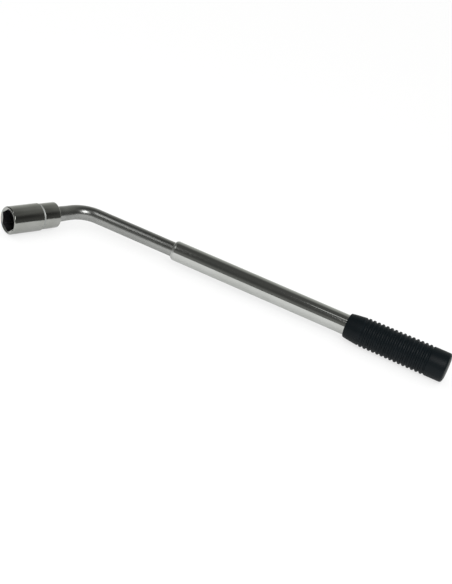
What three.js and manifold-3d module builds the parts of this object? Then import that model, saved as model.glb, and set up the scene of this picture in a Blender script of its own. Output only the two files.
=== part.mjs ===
// Telescopic wheel-nut wrench: a round chromed bar, bent near one end, slides and turns in a tube
// with a ribbed hand grip. A double-ended socket, hexagonal at both ends with a square hole in its
// web, sits on the square drive forged on the bar's short leg.
//
// Millimetres, +Z up, lying on the floor. The bar's two straight legs lie in one level plane, the
// handle runs along +X and the short leg points to -X and -Y. Everything is laid out from the
// corner, the point where the centre lines of the two legs meet. A place on the handle is its
// distance along +X from the corner, and a place on the leg its distance from the corner along
// the leg. The finished group is moved so that its origin is the middle of its underside.

import * as THREE from 'three';
import { mergeVertices } from 'three/addons/utils/BufferGeometryUtils.js';
import Module from 'manifold-3d';

// ---- Driving dimensions ----

const BAR_R = 7; // 14 mm bar
const BEND_TURN = THREE.MathUtils.degToRad(62.5); // how far the bar turns from straight
const BEND_R = 25; // centre line of the bend

// Short leg with the square drive (1/2 inch)
const NECK_R = 7.25; // the forged neck behind the drive is a little thicker than the bar
const NECK_AT = 19; // where the thicker neck starts
const SHOULDER_AT = 44.8; // back of the square drive
const DRIVE_SQUARE = 12.7;
const DRIVE_CORNER = 1.2; // flat on each corner of the square
const DRIVE_TIP_AT = 58.8;
const DRIVE_TIP_BEVEL = 1;

// Double-ended socket
const SOCKET_FRONT_AT = 84.2; // rim of the larger hexagon
const SOCKET_STEP_AT = 52.5; // the larger diameter ends here
const SOCKET_REAR_AT = 33.8; // rim of the smaller hexagon
const SOCKET_FRONT_R = 13;
const SOCKET_REAR_R = 12.1;
const SOCKET_GROOVE_R = 11.5; // shallow groove between the two diameters
const SOCKET_STEP_LENGTH = 1; // length of the conical step up to the larger diameter
const SOCKET_GROOVE_LENGTH = 1.2; // length of the groove's other, flatter side
const SOCKET_RIM_BEVEL = 0.8;
const SOCKET_TAIL_ROUND = 1; // rounding at the smaller end
const HEX_FRONT_AF = 19.1; // across the flats, for 19 mm nuts
const HEX_REAR_AF = 17.1; // for 17 mm nuts
const HEX_CORNER_R = 2;
const HEX_FRONT_DEPTH = 25;
const HEX_REAR_DEPTH = 12;
const HEX_LEAD_IN = 2; // the conical lead-ins at both mouths widen the hexagons by this much a side
const HEX_LEAD_DEPTH = 0.8;
const HEX_TURN = THREE.MathUtils.degToRad(-13.5); // a corner stands this far from straight up
const DRIVE_GAP = 0.3; // play between the square drive and the socket's square hole

// Spring-loaded ball in the square drive
const DRIVE_BALL_R = 2.5;
const DRIVE_BALL_AT = 52.3;
const DRIVE_BALL_PROUD = 0.1; // pressed in, the ball stands this far out of the drive's face
const DRIVE_BALL_RECESS = 0.9; // depth of the socket's recess for it
const BALL_HOLE_R = 2.75;
const DRIVE_HOLE_BOTTOM = -3.5; // height of the bottom of the ball's blind hole

// Outer tube, 19 mm with a 1.5 mm wall, its mouth rolled in around the bar
const TUBE_R = 9.5;
const TUBE_BORE_R = 8;
const TUBE_MOUTH_AT = 97.5;
const TUBE_MOUTH_LENGTH = 3.6; // length of the rolled-in rounding
const TUBE_LIP_LENGTH = 4.3; // length of the narrow bore in the mouth
const TUBE_LIP_R = 7.35; // bore that guides the bar
const TUBE_END_AT = 367;
const CLICK_GROOVE_DEPTH = 0.45; // ring groove in the bore where the detent balls drop in
const CLICK_GROOVE_WIDTH = 3.4;

// Tail of the bar, turned down to carry the guide sleeve
const TRAVEL = 190; // how far the bar pulls out
const SPIGOT_R = 5.5;
const SLEEVE_CLEARANCE = 1; // left between the guide sleeve and the mouth when fully drawn out
const SLEEVE_BORE_R = 5.8;
const SLEEVE_R = 7.75;
const TAIL_END_AT = 346.5;
const RING_AT = 303; // middle of the friction ring
const RING_WIDTH = 6;
const RING_R = 7.85;
const RING_GROOVE_R = 6.9;
const RING_SIDE_GAP = 0.3;
const RING_SPLIT = THREE.MathUtils.degToRad(20); // the ring is open over this angle
const DETENT_AT = 326;
const DETENT_BALL_R = 2.5;
const DETENT_BALL_REACH = 7.85; // how far out the pressed-in balls reach
const PIN_AT = 339;
const PIN_R = 1.5;
const PIN_BORE_R = 0.75;
const PIN_HOLE_R = 1.7;
const PIN_LENGTH = 14.6;

// Hand grip
const GRIP_FRONT_AT = 274.7;
const GRIP_END_AT = 371.2;
const GRIP_BORE_R = 9.7;
const GRIP_NOSE_R = 11.4;
const GRIP_NOSE_ROUND = 2;
const GRIP_CONE_END_AT = 289.2; // the smooth cone ends here in the first ridge
const GRIP_CONE_END_R = 13.25;
const RIDGES = 15;
const RIDGE_PITCH = 4.18;
const FIRST_VALLEY = 1.4; // from the cone's end to the first valley
const GRIP_VALLEY_R = 12.1;
const RIDGE_CREST = 1.7; // width of a ridge's crest
const GRIP_TAPER = 0.0055; // the ridges' radius grows by this much for each millimetre
const GRIP_COLLAR_R = 13.75;
const GRIP_COLLAR_ROUND = 1.2;
const GRIP_SEAT_R = 12.35; // recess in the end of the grip for the plug's head
const GRIP_SEAT_DEPTH = 2.6;

// End plug
const PLUG_HEAD_R = 12.1;
const PLUG_HEAD_AT = 369;
const PLUG_DOME_HEIGHT = 1.1; // the domed head stands out of the grip's end by this much
const PLUG_FLAT_R = 4;
const PLUG_STEM_R = 7.7;
const PLUG_STEM_AT = 348;

// Springs
const SPRING_R = 1.95; // to the middle of the wire
const SPRING_WIRE_R = 0.3;
const SPRING_TURNS = 5;

// Facets
const ROUND = 32; // sides of the outer rounds
const BALL_SIDES = 12;
const HOLE_SIDES = 16;
const BEND_STEPS = 10;
const SPRING_STEPS = 9; // for each turn

// ---- Solids ----

const wasm = await Module();
wasm.setup();

function toSolid(geometry) {
  const plain = geometry.clone();
  plain.deleteAttribute('normal');
  plain.deleteAttribute('uv');
  const merged = mergeVertices(plain, 1e-5);
  const mesh = new wasm.Mesh({
    numProp: 3,
    vertProperties: new Float32Array(merged.attributes.position.array),
    triVerts: new Uint32Array(merged.index.array),
  });
  return new wasm.Manifold(mesh);
}

function toGeometry(solid) {
  const mesh = solid.getMesh();
  const geometry = new THREE.BufferGeometry();
  geometry.setAttribute('position', new THREE.BufferAttribute(mesh.vertProperties, 3));
  geometry.setIndex(new THREE.BufferAttribute(mesh.triVerts, 1));
  geometry.computeVertexNormals();
  return geometry;
}

function cut(geometry, ...cutters) {
  const solid = cutters.reduce((rest, cutter) => rest.subtract(toSolid(cutter)), toSolid(geometry));
  return toGeometry(solid);
}

function join(...geometries) {
  const solid = geometries.slice(1).reduce((all, next) => all.add(toSolid(next)), toSolid(geometries[0]));
  return toGeometry(solid);
}

// A body turned about the X axis. Each profile point is [place along X, radius], in order of X
// along the outside, and back along the inside where the body is hollow.
function turned(profile, sides = ROUND) {
  const points = profile.map(([x, r]) => new THREE.Vector2(r, x));
  return new THREE.LatheGeometry(points, sides).rotateZ(-Math.PI / 2);
}

// A solid turned body: its profile gets a point on the axis at each end.
function turnedSolid(profile, sides = ROUND) {
  const first = [profile[0][0], 0];
  const last = [profile[profile.length - 1][0], 0];
  return turned([first, ...profile, last], sides);
}

// A hollow turned body: its profile closes on itself.
function turnedRing(outside, inside, sides = ROUND) {
  return turned([...outside, ...inside, outside[0]], sides);
}

// Points on a quarter of an ellipse, from [x0, r0] to [x1, r1]. It leaves the first point along
// the radius and reaches the second along X when rising, and the other way round when falling.
function quarter([x0, r0], [x1, r1], steps = 4) {
  const rising = r1 > r0;
  return Array.from({ length: steps + 1 }, (_, i) => {
    const angle = (i / steps) * Math.PI / 2;
    const alongX = rising ? 1 - Math.cos(angle) : Math.sin(angle);
    const alongR = rising ? Math.sin(angle) : 1 - Math.cos(angle);
    return [x0 + (x1 - x0) * alongX, r0 + (r1 - r0) * alongR];
  });
}

// A flat outline pushed along X from one place to another.
function prismAlongX(shape, from, to) {
  const geometry = new THREE.ExtrudeGeometry(shape, { depth: to - from, bevelEnabled: false });
  return geometry.rotateY(Math.PI / 2).rotateX(Math.PI / 2).translate(from, 0, 0);
}

// A regular outline with rounded corners, its first corner on the first axis.
function roundedPolygon(corners, acrossFlats, cornerR) {
  const apothem = acrossFlats / 2;
  const roundAt = (apothem - cornerR) / Math.cos(Math.PI / corners);
  const halfRound = Math.PI / corners;
  const shape = new THREE.Shape();
  for (let corner = 0; corner < corners; corner += 1) {
    const middle = (corner / corners) * 2 * Math.PI;
    for (const side of [-1, 0, 1]) {
      const angle = middle + side * halfRound;
      const x = roundAt * Math.cos(middle) + cornerR * Math.cos(angle);
      const y = roundAt * Math.sin(middle) + cornerR * Math.sin(angle);
      if (corner === 0 && side === -1) shape.moveTo(x, y);
      else shape.lineTo(x, y);
    }
  }
  shape.closePath();
  return shape;
}

// A square outline with its corners cut off by small flats.
function flattedSquare(side, flat) {
  const half = side / 2;
  const inner = half - flat;
  const shape = new THREE.Shape();
  shape.moveTo(half, -inner);
  shape.lineTo(half, inner);
  shape.lineTo(inner, half);
  shape.lineTo(-inner, half);
  shape.lineTo(-half, inner);
  shape.lineTo(-half, -inner);
  shape.lineTo(-inner, -half);
  shape.lineTo(inner, -half);
  shape.closePath();
  return shape;
}

function roundHole(radius, length) {
  return new THREE.CylinderGeometry(radius, radius, length, HOLE_SIDES);
}

// A coil spring standing on the XY plane, its axis along Z.
class Helix extends THREE.Curve {
  constructor(radius, height, turns) {
    super();
    this.radius = radius;
    this.height = height;
    this.turns = turns;
  }

  getPoint(t, target = new THREE.Vector3()) {
    const angle = t * this.turns * 2 * Math.PI;
    return target.set(this.radius * Math.cos(angle), this.radius * Math.sin(angle), t * this.height);
  }
}

function coilSpring(height) {
  const wire = new THREE.Shape();
  wire.absarc(0, 0, SPRING_WIRE_R, 0, 2 * Math.PI);
  const room = height - 2 * SPRING_WIRE_R;
  const path = new Helix(SPRING_R, room, SPRING_TURNS);
  const options = { extrudePath: path, steps: SPRING_TURNS * SPRING_STEPS, curveSegments: 3, bevelEnabled: false };
  return new THREE.ExtrudeGeometry(wire, options).translate(0, 0, SPRING_WIRE_R);
}

// ---- The bar ----

const BEND_SET_BACK = BEND_R * Math.tan(BEND_TURN / 2); // from the corner to the end of the bend
const SLEEVE_FRONT_AT = TUBE_MOUTH_AT + TUBE_LIP_LENGTH + SLEEVE_CLEARANCE + TRAVEL;

// The leg points this way: back past the handle's end, turned towards -Y.
const LEG_WAY = new THREE.Vector3(-Math.cos(BEND_TURN), -Math.sin(BEND_TURN), 0);

// Centre line of the plain bar, from the neck through the bend to the shoulder of its tail. Its
// even parameter spends one step on each straight and the others on the bend.
class BarCentreLine extends THREE.Curve {
  getPointAt(u, target = new THREE.Vector3()) {
    const step = u * (BEND_STEPS + 2);
    if (step < 1) {
      const place = THREE.MathUtils.lerp(NECK_AT + 1, BEND_SET_BACK, step);
      return target.copy(LEG_WAY).multiplyScalar(place);
    }
    if (step > BEND_STEPS + 1) {
      const place = THREE.MathUtils.lerp(BEND_SET_BACK, SLEEVE_FRONT_AT, step - BEND_STEPS - 1);
      return target.set(place, 0, 0);
    }
    const turn = BEND_TURN * (1 - (step - 1) / BEND_STEPS); // still to turn
    return target.set(BEND_SET_BACK - BEND_R * Math.sin(turn), -BEND_R * (1 - Math.cos(turn)), 0);
  }

  getTangentAt(u, target = new THREE.Vector3()) {
    const step = THREE.MathUtils.clamp(u * (BEND_STEPS + 2) - 1, 0, BEND_STEPS);
    const turn = BEND_TURN * (1 - step / BEND_STEPS);
    return target.set(Math.cos(turn), Math.sin(turn), 0);
  }
}

// Pieces of the leg are made along +X and then swung onto the leg.
function ontoLeg(geometry) {
  return geometry.rotateZ(Math.PI + BEND_TURN);
}

function barGeometry() {
  const section = new THREE.Shape();
  section.absarc(0, 0, BAR_R, 0, 2 * Math.PI);
  const sweep = { extrudePath: new BarCentreLine(), steps: BEND_STEPS + 2, curveSegments: ROUND / 2 };
  const plainBar = new THREE.ExtrudeGeometry(section, { ...sweep, bevelEnabled: false });

  const neck = ontoLeg(turnedSolid([
    [NECK_AT, BAR_R + 0.05],
    [NECK_AT + 9, NECK_R],
    [SHOULDER_AT - 1, NECK_R],
    [SHOULDER_AT, NECK_R - 0.6],
  ]));

  const square = flattedSquare(DRIVE_SQUARE, DRIVE_CORNER);
  const smallSquare = flattedSquare(DRIVE_SQUARE - 2 * DRIVE_TIP_BEVEL, DRIVE_CORNER);
  const drive = ontoLeg(prismAlongX(square, SHOULDER_AT - 2, DRIVE_TIP_AT - DRIVE_TIP_BEVEL));
  const driveTip = ontoLeg(prismAlongX(smallSquare, SHOULDER_AT, DRIVE_TIP_AT));

  const spigot = turnedSolid([
    [SLEEVE_FRONT_AT - 2, SPIGOT_R],
    [TAIL_END_AT - 0.8, SPIGOT_R],
    [TAIL_END_AT, SPIGOT_R - 0.8],
  ]);

  const ballHoleLength = DRIVE_SQUARE - DRIVE_HOLE_BOTTOM;
  const ballHole = roundHole(BALL_HOLE_R, ballHoleLength);
  ballHole.rotateX(Math.PI / 2).translate(DRIVE_BALL_AT, 0, DRIVE_HOLE_BOTTOM + ballHoleLength / 2);
  const detentHole = roundHole(BALL_HOLE_R, 4 * SPIGOT_R).rotateX(Math.PI / 2).translate(DETENT_AT, 0, 0);
  const pinHole = roundHole(PIN_HOLE_R, 4 * SPIGOT_R).translate(PIN_AT, 0, 0);

  return cut(join(plainBar, neck, drive, driveTip, spigot), ontoLeg(ballHole), detentHole, pinHole);
}

// ---- Socket ----

function hexPocket(acrossFlats, from, to) {
  const shape = roundedPolygon(6, acrossFlats, HEX_CORNER_R);
  return prismAlongX(shape, from, to).rotateX(-Math.PI / 2 - HEX_TURN);
}

function socketGeometry() {
  const body = turnedSolid([
    ...quarter([SOCKET_REAR_AT, SOCKET_REAR_R - SOCKET_TAIL_ROUND], [SOCKET_REAR_AT + SOCKET_TAIL_ROUND, SOCKET_REAR_R]),
    [SOCKET_STEP_AT - SOCKET_STEP_LENGTH - SOCKET_GROOVE_LENGTH, SOCKET_REAR_R],
    [SOCKET_STEP_AT - SOCKET_STEP_LENGTH, SOCKET_GROOVE_R],
    [SOCKET_STEP_AT, SOCKET_FRONT_R],
    [SOCKET_FRONT_AT - SOCKET_RIM_BEVEL, SOCKET_FRONT_R],
    [SOCKET_FRONT_AT, SOCKET_FRONT_R - SOCKET_RIM_BEVEL],
  ]);

  const past = 1; // the cutters run this far past the rims
  const leadPast = (HEX_LEAD_IN * (HEX_LEAD_DEPTH + past)) / HEX_LEAD_DEPTH;
  const front = hexPocket(HEX_FRONT_AF, SOCKET_FRONT_AT - HEX_FRONT_DEPTH, SOCKET_FRONT_AT + past);
  const rear = hexPocket(HEX_REAR_AF, SOCKET_REAR_AT - past, SOCKET_REAR_AT + HEX_REAR_DEPTH);
  const frontLead = turnedSolid([
    [SOCKET_FRONT_AT - HEX_LEAD_DEPTH, HEX_FRONT_AF / 2],
    [SOCKET_FRONT_AT + past, HEX_FRONT_AF / 2 + leadPast],
  ]);
  const rearLead = turnedSolid([
    [SOCKET_REAR_AT - past, HEX_REAR_AF / 2 + leadPast],
    [SOCKET_REAR_AT + HEX_LEAD_DEPTH, HEX_REAR_AF / 2],
  ]);
  const squareHole = prismAlongX(
    flattedSquare(DRIVE_SQUARE + 2 * DRIVE_GAP, DRIVE_CORNER),
    SOCKET_REAR_AT + HEX_REAR_DEPTH - past,
    SOCKET_FRONT_AT - HEX_FRONT_DEPTH + past,
  );
  const recess = roundHole(BALL_HOLE_R, DRIVE_SQUARE / 2 + DRIVE_GAP + DRIVE_BALL_RECESS);
  recess.rotateX(Math.PI / 2).translate(DRIVE_BALL_AT, 0, (DRIVE_SQUARE / 2 + DRIVE_GAP + DRIVE_BALL_RECESS) / 2);

  return ontoLeg(cut(body, front, rear, frontLead, rearLead, squareHole, recess));
}

// ---- Tube, grip and plug ----

function tubeGeometry() {
  const roundingEnd = TUBE_MOUTH_AT + TUBE_MOUTH_LENGTH;
  const lipEnd = TUBE_MOUTH_AT + TUBE_LIP_LENGTH;
  const clickGroove = (place) => [
    [place + CLICK_GROOVE_WIDTH / 2, TUBE_BORE_R],
    [place + CLICK_GROOVE_WIDTH / 4, TUBE_BORE_R + CLICK_GROOVE_DEPTH],
    [place - CLICK_GROOVE_WIDTH / 4, TUBE_BORE_R + CLICK_GROOVE_DEPTH],
    [place - CLICK_GROOVE_WIDTH / 2, TUBE_BORE_R],
  ];
  const outside = [
    ...quarter([TUBE_MOUTH_AT, TUBE_LIP_R + 0.3], [roundingEnd, TUBE_R], 5),
    [TUBE_END_AT, TUBE_R],
  ];
  const inside = [
    [TUBE_END_AT, TUBE_BORE_R],
    ...clickGroove(DETENT_AT),
    ...clickGroove(DETENT_AT - TRAVEL),
    [lipEnd, TUBE_BORE_R],
    [lipEnd, TUBE_LIP_R],
    [TUBE_MOUTH_AT + 0.3, TUBE_LIP_R],
  ];
  return turnedRing(outside, inside);
}

function gripGeometry() {
  const firstValley = GRIP_CONE_END_AT + FIRST_VALLEY;
  const lastValley = firstValley + RIDGES * RIDGE_PITCH;
  const ridges = [];
  for (let valley = firstValley; valley < lastValley - RIDGE_PITCH / 2; valley += RIDGE_PITCH) {
    const crest = valley + RIDGE_PITCH / 2;
    const crestR = GRIP_CONE_END_R + GRIP_TAPER * (crest - GRIP_CONE_END_AT);
    ridges.push([valley, GRIP_VALLEY_R]);
    ridges.push([crest - RIDGE_CREST / 2, crestR]);
    ridges.push([crest + RIDGE_CREST / 2, crestR]);
  }
  const collarEnd = GRIP_END_AT - GRIP_COLLAR_ROUND;
  const outside = [
    ...quarter([GRIP_FRONT_AT, GRIP_NOSE_R - GRIP_NOSE_ROUND + 0.5], [GRIP_FRONT_AT + GRIP_NOSE_ROUND, GRIP_NOSE_R]),
    [GRIP_CONE_END_AT, GRIP_CONE_END_R],
    ...ridges,
    [lastValley, GRIP_VALLEY_R],
    [lastValley + FIRST_VALLEY, GRIP_COLLAR_R],
    ...quarter([collarEnd, GRIP_COLLAR_R], [GRIP_END_AT, GRIP_COLLAR_R - GRIP_COLLAR_ROUND], 3),
  ];
  const inside = [
    [GRIP_END_AT, GRIP_SEAT_R],
    [GRIP_END_AT - GRIP_SEAT_DEPTH, GRIP_SEAT_R],
    [GRIP_END_AT - GRIP_SEAT_DEPTH, GRIP_BORE_R],
    [GRIP_FRONT_AT, GRIP_BORE_R],
  ];
  return turnedRing(outside, inside);
}

function plugGeometry() {
  const domeStart = GRIP_END_AT + 0.4;
  const flatAt = GRIP_END_AT + PLUG_DOME_HEIGHT;
  return turnedSolid([
    [PLUG_STEM_AT, PLUG_STEM_R - 0.8],
    [PLUG_STEM_AT + 1, PLUG_STEM_R],
    [PLUG_HEAD_AT, PLUG_STEM_R],
    [PLUG_HEAD_AT, PLUG_HEAD_R],
    ...quarter([domeStart, PLUG_HEAD_R], [flatAt, PLUG_FLAT_R], 6),
  ]);
}

// ---- Small parts in the tail of the bar ----

function sleeveGeometry() {
  const ringFrom = RING_AT - RING_WIDTH / 2 - RING_SIDE_GAP;
  const ringTo = RING_AT + RING_WIDTH / 2 + RING_SIDE_GAP;
  const front = SLEEVE_FRONT_AT + 0.3;
  const outside = [
    [front, SLEEVE_R - 0.5],
    [front + 0.5, SLEEVE_R],
    [ringFrom, SLEEVE_R],
    [ringFrom, RING_GROOVE_R],
    [ringTo, RING_GROOVE_R],
    [ringTo, SLEEVE_R],
    [TAIL_END_AT - 1, SLEEVE_R],
    [TAIL_END_AT - 0.5, SLEEVE_R - 0.5],
  ];
  const inside = [[TAIL_END_AT - 0.5, SLEEVE_BORE_R], [front, SLEEVE_BORE_R]];
  const detentHole = roundHole(BALL_HOLE_R, 4 * SLEEVE_R).rotateX(Math.PI / 2).translate(DETENT_AT, 0, 0);
  const pinHole = roundHole(PIN_HOLE_R, 4 * SLEEVE_R).translate(PIN_AT, 0, 0);
  return cut(turnedRing(outside, inside), detentHole, pinHole);
}

// The split friction ring: an open ring outline pushed along X.
function frictionRingGeometry() {
  const inner = RING_GROOVE_R + 0.15;
  const start = RING_SPLIT / 2;
  const end = 2 * Math.PI - RING_SPLIT / 2;
  const shape = new THREE.Shape();
  shape.absarc(0, 0, RING_R, start, end);
  shape.absarc(0, 0, inner, end, start, true);
  shape.closePath();
  const options = { depth: RING_WIDTH, curveSegments: ROUND / 2, bevelEnabled: false };
  return new THREE.ExtrudeGeometry(shape, options).rotateY(Math.PI / 2).translate(RING_AT - RING_WIDTH / 2, 0, 0);
}

// A slotted spring pin, standing along Y.
function pinGeometry() {
  const shape = new THREE.Shape();
  const slot = THREE.MathUtils.degToRad(40);
  shape.absarc(0, 0, PIN_R, slot / 2, 2 * Math.PI - slot / 2);
  shape.absarc(0, 0, PIN_BORE_R, 2 * Math.PI - slot / 2, slot / 2, true);
  shape.closePath();
  const options = { depth: PIN_LENGTH, curveSegments: 8, bevelEnabled: false };
  return new THREE.ExtrudeGeometry(shape, options).rotateX(Math.PI / 2).translate(PIN_AT, PIN_LENGTH / 2, 0);
}

function ballGeometry(radius) {
  return new THREE.SphereGeometry(radius, BALL_SIDES, BALL_SIDES / 2).rotateX(Math.PI / 2);
}

// ---- Materials ----

const chrome = { color: 0xc9ccca, roughness: 0.12, metalness: 1 };
const forgedChrome = { color: 0xa9aca6, roughness: 0.22, metalness: 1 };
const steel = { color: 0x8f9296, roughness: 0.35, metalness: 1 };
const springSteel = { color: 0x6f7479, roughness: 0.4, metalness: 1 };
const nylon = { color: 0xd8d4c6, roughness: 0.6, metalness: 0 };
const blackGrip = { color: 0x15181a, roughness: 0.55, metalness: 0 };
const blackPlug = { color: 0x24282a, roughness: 0.35, metalness: 0 };

// ---- Assembly ----

function piece(name, geometry, look) {
  const mesh = new THREE.Mesh(geometry, new THREE.MeshStandardMaterial(look));
  mesh.name = name;
  return mesh;
}

const wrench = new THREE.Group();

wrench.add(piece('outer_tube', tubeGeometry(), chrome));
wrench.add(piece('grip', gripGeometry(), blackGrip));
wrench.add(piece('end_plug', plugGeometry(), blackPlug));

wrench.add(piece('drive_bar', barGeometry(), chrome));
wrench.add(piece('wheel_nut_socket', socketGeometry(), forgedChrome));
wrench.add(piece('guide_sleeve', sleeveGeometry(), steel));
wrench.add(piece('friction_ring', frictionRingGeometry(), nylon));
wrench.add(piece('sleeve_pin', pinGeometry(), springSteel));

const driveBallHeight = DRIVE_SQUARE / 2 + DRIVE_BALL_PROUD - DRIVE_BALL_R;
const driveBall = piece('drive_ball', ballGeometry(DRIVE_BALL_R), steel);
driveBall.position.copy(LEG_WAY).multiplyScalar(DRIVE_BALL_AT);
driveBall.position.z = driveBallHeight;
wrench.add(driveBall);

const driveSpringFrom = DRIVE_HOLE_BOTTOM + 0.1;
const driveSpringTo = driveBallHeight - DRIVE_BALL_R * 0.8;
const driveSpring = piece('drive_ball_spring', coilSpring(driveSpringTo - driveSpringFrom), springSteel);
driveSpring.position.copy(LEG_WAY).multiplyScalar(DRIVE_BALL_AT);
driveSpring.position.z = driveSpringFrom;
wrench.add(driveSpring);

const detentBallHeight = DETENT_BALL_REACH - DETENT_BALL_R;
for (const [name, side] of [['detent_ball_upper', 1], ['detent_ball_lower', -1]]) {
  const ball = piece(name, ballGeometry(DETENT_BALL_R), steel);
  ball.position.set(DETENT_AT, 0, side * detentBallHeight);
  wrench.add(ball);
}

const detentSpringHalf = detentBallHeight - DETENT_BALL_R * 0.8;
const detentSpring = piece('detent_spring', coilSpring(2 * detentSpringHalf), springSteel);
detentSpring.position.set(DETENT_AT, 0, -detentSpringHalf);
wrench.add(detentSpring);

// The origin is the middle of the underside of the wrench's bounding box.
wrench.updateMatrixWorld(true);
const bounds = new THREE.Box3().setFromObject(wrench, true);
const centre = bounds.getCenter(new THREE.Vector3());
wrench.position.set(-centre.x, -centre.y, -bounds.min.z);

export default wrench;
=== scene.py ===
"""Looks of the telescopic wheel-nut wrench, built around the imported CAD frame.

The pieces are laid out as the CAD is: in millimetres from the corner where the centre lines of
the handle and of the short leg meet. The handle runs along +X; the leg is made along +X too and
swung into place. Every mesh is then brought into the row frame, in metres.
"""

import math

import bmesh
import bpy
from mathutils import Matrix, Vector

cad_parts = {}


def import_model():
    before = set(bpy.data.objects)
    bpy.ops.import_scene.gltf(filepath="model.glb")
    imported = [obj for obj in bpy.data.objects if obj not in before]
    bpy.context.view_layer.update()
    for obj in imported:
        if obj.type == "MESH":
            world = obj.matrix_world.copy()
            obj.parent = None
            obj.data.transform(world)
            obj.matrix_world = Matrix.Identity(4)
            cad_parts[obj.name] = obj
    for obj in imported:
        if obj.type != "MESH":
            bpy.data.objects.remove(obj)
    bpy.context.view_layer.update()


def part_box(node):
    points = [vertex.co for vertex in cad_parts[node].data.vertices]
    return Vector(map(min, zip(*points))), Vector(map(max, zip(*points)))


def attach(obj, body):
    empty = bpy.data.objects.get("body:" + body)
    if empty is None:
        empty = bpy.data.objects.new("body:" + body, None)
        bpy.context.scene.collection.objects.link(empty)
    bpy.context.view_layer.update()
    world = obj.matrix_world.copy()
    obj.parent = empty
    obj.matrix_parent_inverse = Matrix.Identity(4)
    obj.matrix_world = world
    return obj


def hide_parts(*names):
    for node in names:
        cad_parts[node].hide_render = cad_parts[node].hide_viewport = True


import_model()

# ---- Dimensions, in millimetres ----
# They follow the CAD, but the grip's ridges and other roundings are finer here.
# AT is a place along the handle or the leg, R a radius, AF a width across flats.

MM = 0.001
BAR_R = 7.0
BEND_TURN = math.radians(62.5)
BEND_R = 25.0
BEND_FLATTENING = 0.018
BEND_STEPS = 56
NECK_R = 7.25
NECK_AT = 19.0
NECK_FULL_AT = 28.0
NECK_STEPS = 8
SHOULDER_AT = 44.8
DRIVE_HALF = 6.35
DRIVE_FLAT = 1.2
DRIVE_TIP_AT = 58.8
DRIVE_BALL_AT = 52.3
DRIVE_BALL_HEIGHT = 3.95
DRIVE_HOLE_BOTTOM = -3.5
BALL_R = 2.5
BALL_HOLE_R = 2.75

SOCKET_FRONT_AT = 84.2
SOCKET_STEP_AT = 52.5
SOCKET_REAR_AT = 33.8
SOCKET_FRONT_R = 13.0
SOCKET_REAR_R = 12.1
SOCKET_GROOVE_R = 11.5
SOCKET_GROOVE_AT = SOCKET_STEP_AT - 2.2
SOCKET_RIM_BEVEL = 0.8
SOCKET_RECESS_TOP = 7.55
HEX_FRONT_AF = 19.1
HEX_REAR_AF = 17.1
HEX_CORNER_R = 2.0
HEX_FRONT_DEPTH = 25.0
HEX_REAR_DEPTH = 12.0
HEX_LEAD_IN = 2.0
HEX_LEAD_DEPTH = 0.8
HEX_RIM_EDGE = 0.1
HEX_FLOOR_BEVEL = 0.4
HEX_CORNER_AT = math.radians(103.5)
HOLE_HALF = 6.65
HOLE_BEVEL = 0.3

TUBE_R = 9.5
TUBE_BORE_R = 8.0
TUBE_MOUTH_AT = 97.5
TUBE_MOUTH_R = 7.65
TUBE_MOUTH_LENGTH = 3.6
TUBE_MOUTH_STEPS = 12
TUBE_LIP_R = 7.35
TUBE_LIP_LENGTH = 4.3
TUBE_END_AT = 367.0
CLICK_GROOVE_R = 8.45
TRAVEL = 190.0

SPIGOT_R = 5.5
SLEEVE_BORE_R = 5.8
SLEEVE_R = 7.75
SLEEVE_BEVEL = 0.5
SLEEVE_FRONT_AT = TUBE_MOUTH_AT + TUBE_LIP_LENGTH + 1.0 + TRAVEL
TAIL_END_AT = 346.5
TAIL_BEVEL = 0.8
RING_AT = 303.0
RING_HALF_WIDTH = 3.0
RING_INNER_R = 7.05
RING_R = 7.85
RING_SPLIT = math.radians(20)
RING_SEAT_R = 6.9
RING_SEAT_HALF_WIDTH = 3.3
DETENT_AT = 326.0
DETENT_BALL_HEIGHT = 5.35
PIN_AT = 339.0
PIN_HALF_LENGTH = 7.3
PIN_R = 1.5
PIN_BORE_R = 0.75
PIN_HOLE_R = 1.7
PIN_SPLIT = math.radians(40)
SPRING_WIRE_R = 0.3
SPRING_R = 1.95
SPRING_TURNS = 5
SPRING_CLOSED_TURNS = 0.75
THROUGH = 9.0

GRIP_FRONT_AT = 274.7
GRIP_END_AT = 371.2
GRIP_BORE_R = 9.7
GRIP_CONE_END_AT = 289.2
GRIP_CONE_END_R = 13.25
GRIP_CREST_R = 13.65
GRIP_TAPER = 0.0055
GRIP_COLLAR_R = 13.75
GRIP_SEAT_R = 12.35
GRIP_SEAT_DEPTH = 2.6
RIDGES = 15
RIDGE_PITCH = 4.18
RIDGE_DEPTH = 1.3
RIDGE_FLATNESS = 1.6
RIDGE_STEPS = 18
CREST_BREADTH = 0.35
FIRST_VALLEY = 1.6

PLUG_STEM_AT = 348.0
PLUG_STEM_R = 7.7
PLUG_HEAD_AT = 369.0
PLUG_HEAD_R = 12.1
PLUG_TOP_AT = 372.3

SIDES = 128
BAR_SIDES = 96
CUTTER_SIDES = 48
SHARP_ANGLE = math.radians(28)

# The corner of the wrench in the row frame comes from the tube's box.
tube_low, tube_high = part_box("outer_tube")
tube_middle = (tube_low + tube_high) / 2
corner = Vector((tube_low.x - TUBE_MOUTH_AT * MM, tube_middle.y, tube_middle.z))
ON_HANDLE = Matrix.Translation(corner) @ Matrix.Scale(MM, 4)
ON_LEG = ON_HANDLE @ Matrix.Rotation(math.pi + BEND_TURN, 4, "Z")


# ---- Mesh helpers ----

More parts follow.
